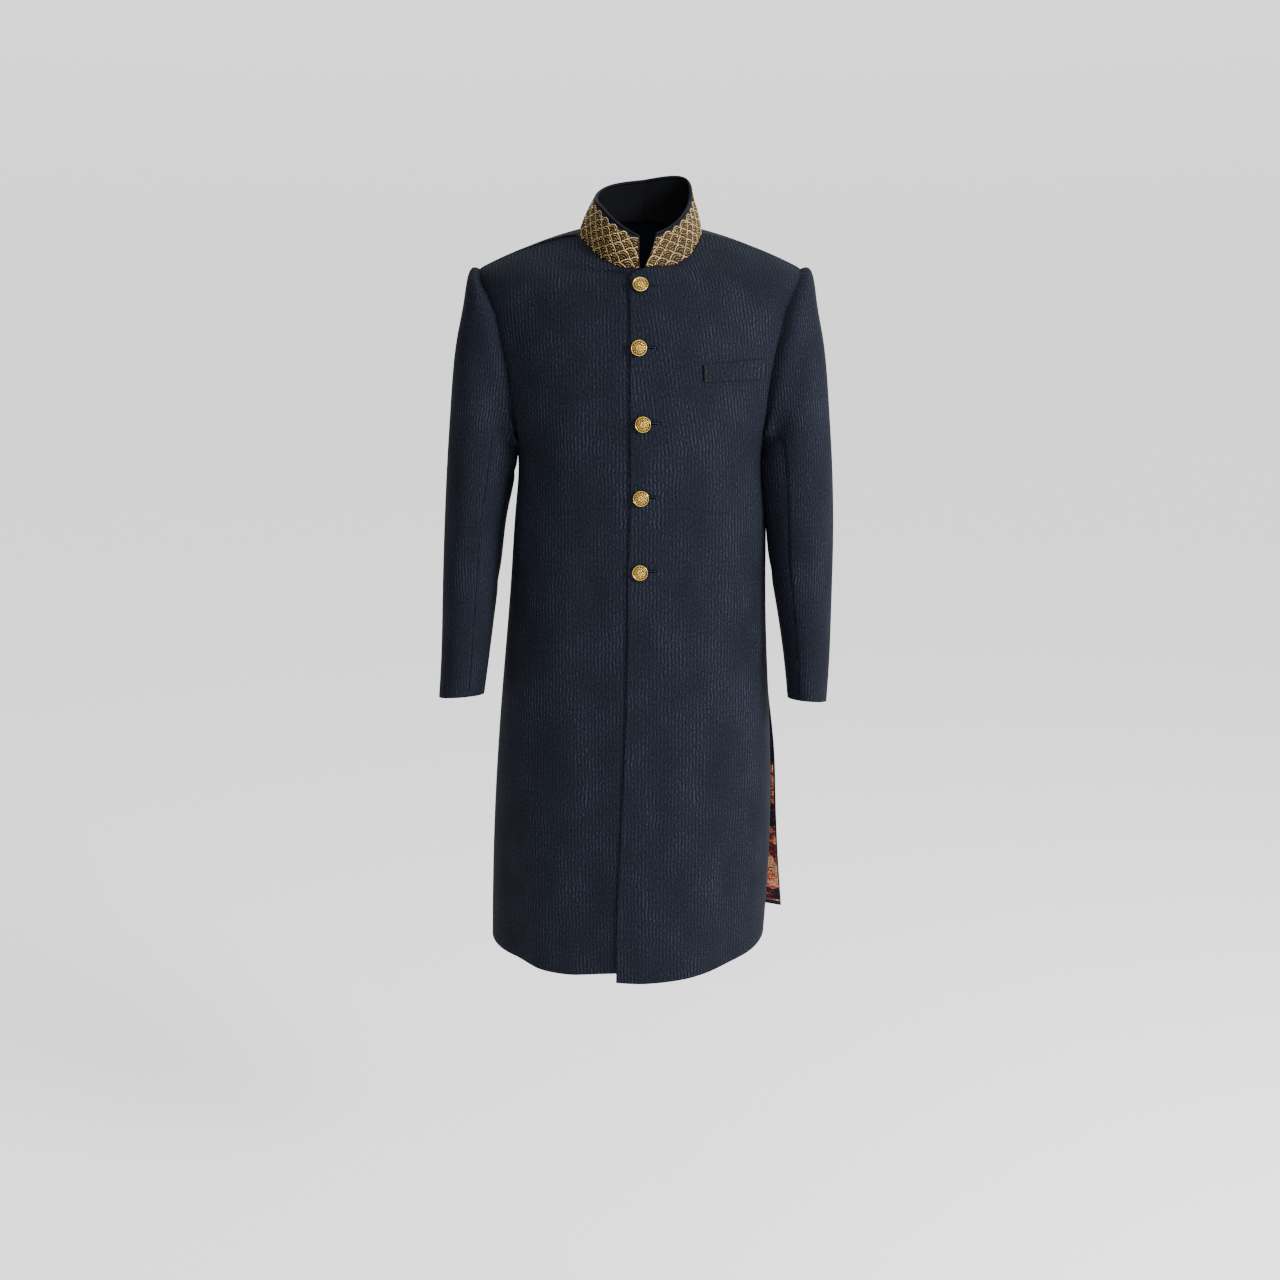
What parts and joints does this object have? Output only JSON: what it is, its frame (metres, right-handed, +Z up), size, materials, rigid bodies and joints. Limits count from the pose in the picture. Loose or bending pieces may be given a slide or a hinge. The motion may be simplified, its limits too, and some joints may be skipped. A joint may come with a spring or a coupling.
{
  "type": "sherwani coat",
  "caption": "Long hollow sherwani coat in its worn shape, with a stand collar, long sleeves, side vents, a chest pocket welt and a buttoned front.",
  "frame": {"origin": "middle of the neck opening, between the two shoulder seams, where the wearer's shoulders hold the coat up", "axes": "+X to the wearer's left, -Y out of the coat's front, +Z up"},
  "size_m": [0.5806, 0.2675, 1.1689],
  "materials": {
    "navy_cloth": "matte ribbed jacquard",
    "gold_embroidery": "raised metallic thread embroidery",
    "gold_button": "polished, engraved",
    "printed_lining": "smooth print"
  },
  "bodies": {
    "root": {"right_front": "navy_cloth", "left_front": "navy_cloth", "right_back": "navy_cloth", "left_back": "navy_cloth", "right_top_sleeve": "navy_cloth", "right_under_sleeve": "navy_cloth", "left_top_sleeve": "navy_cloth", "left_under_sleeve": "navy_cloth", "collar_stand": "navy_cloth", "collar_band": "gold_embroidery", "collar_piping": "navy_cloth", "chest_welt": "navy_cloth", "button_1": "gold_button", "button_2": "gold_button", "button_3": "gold_button", "button_4": "gold_button", "button_5": "gold_button", "back_lining": "printed_lining"}
  },
  "joints": []
}
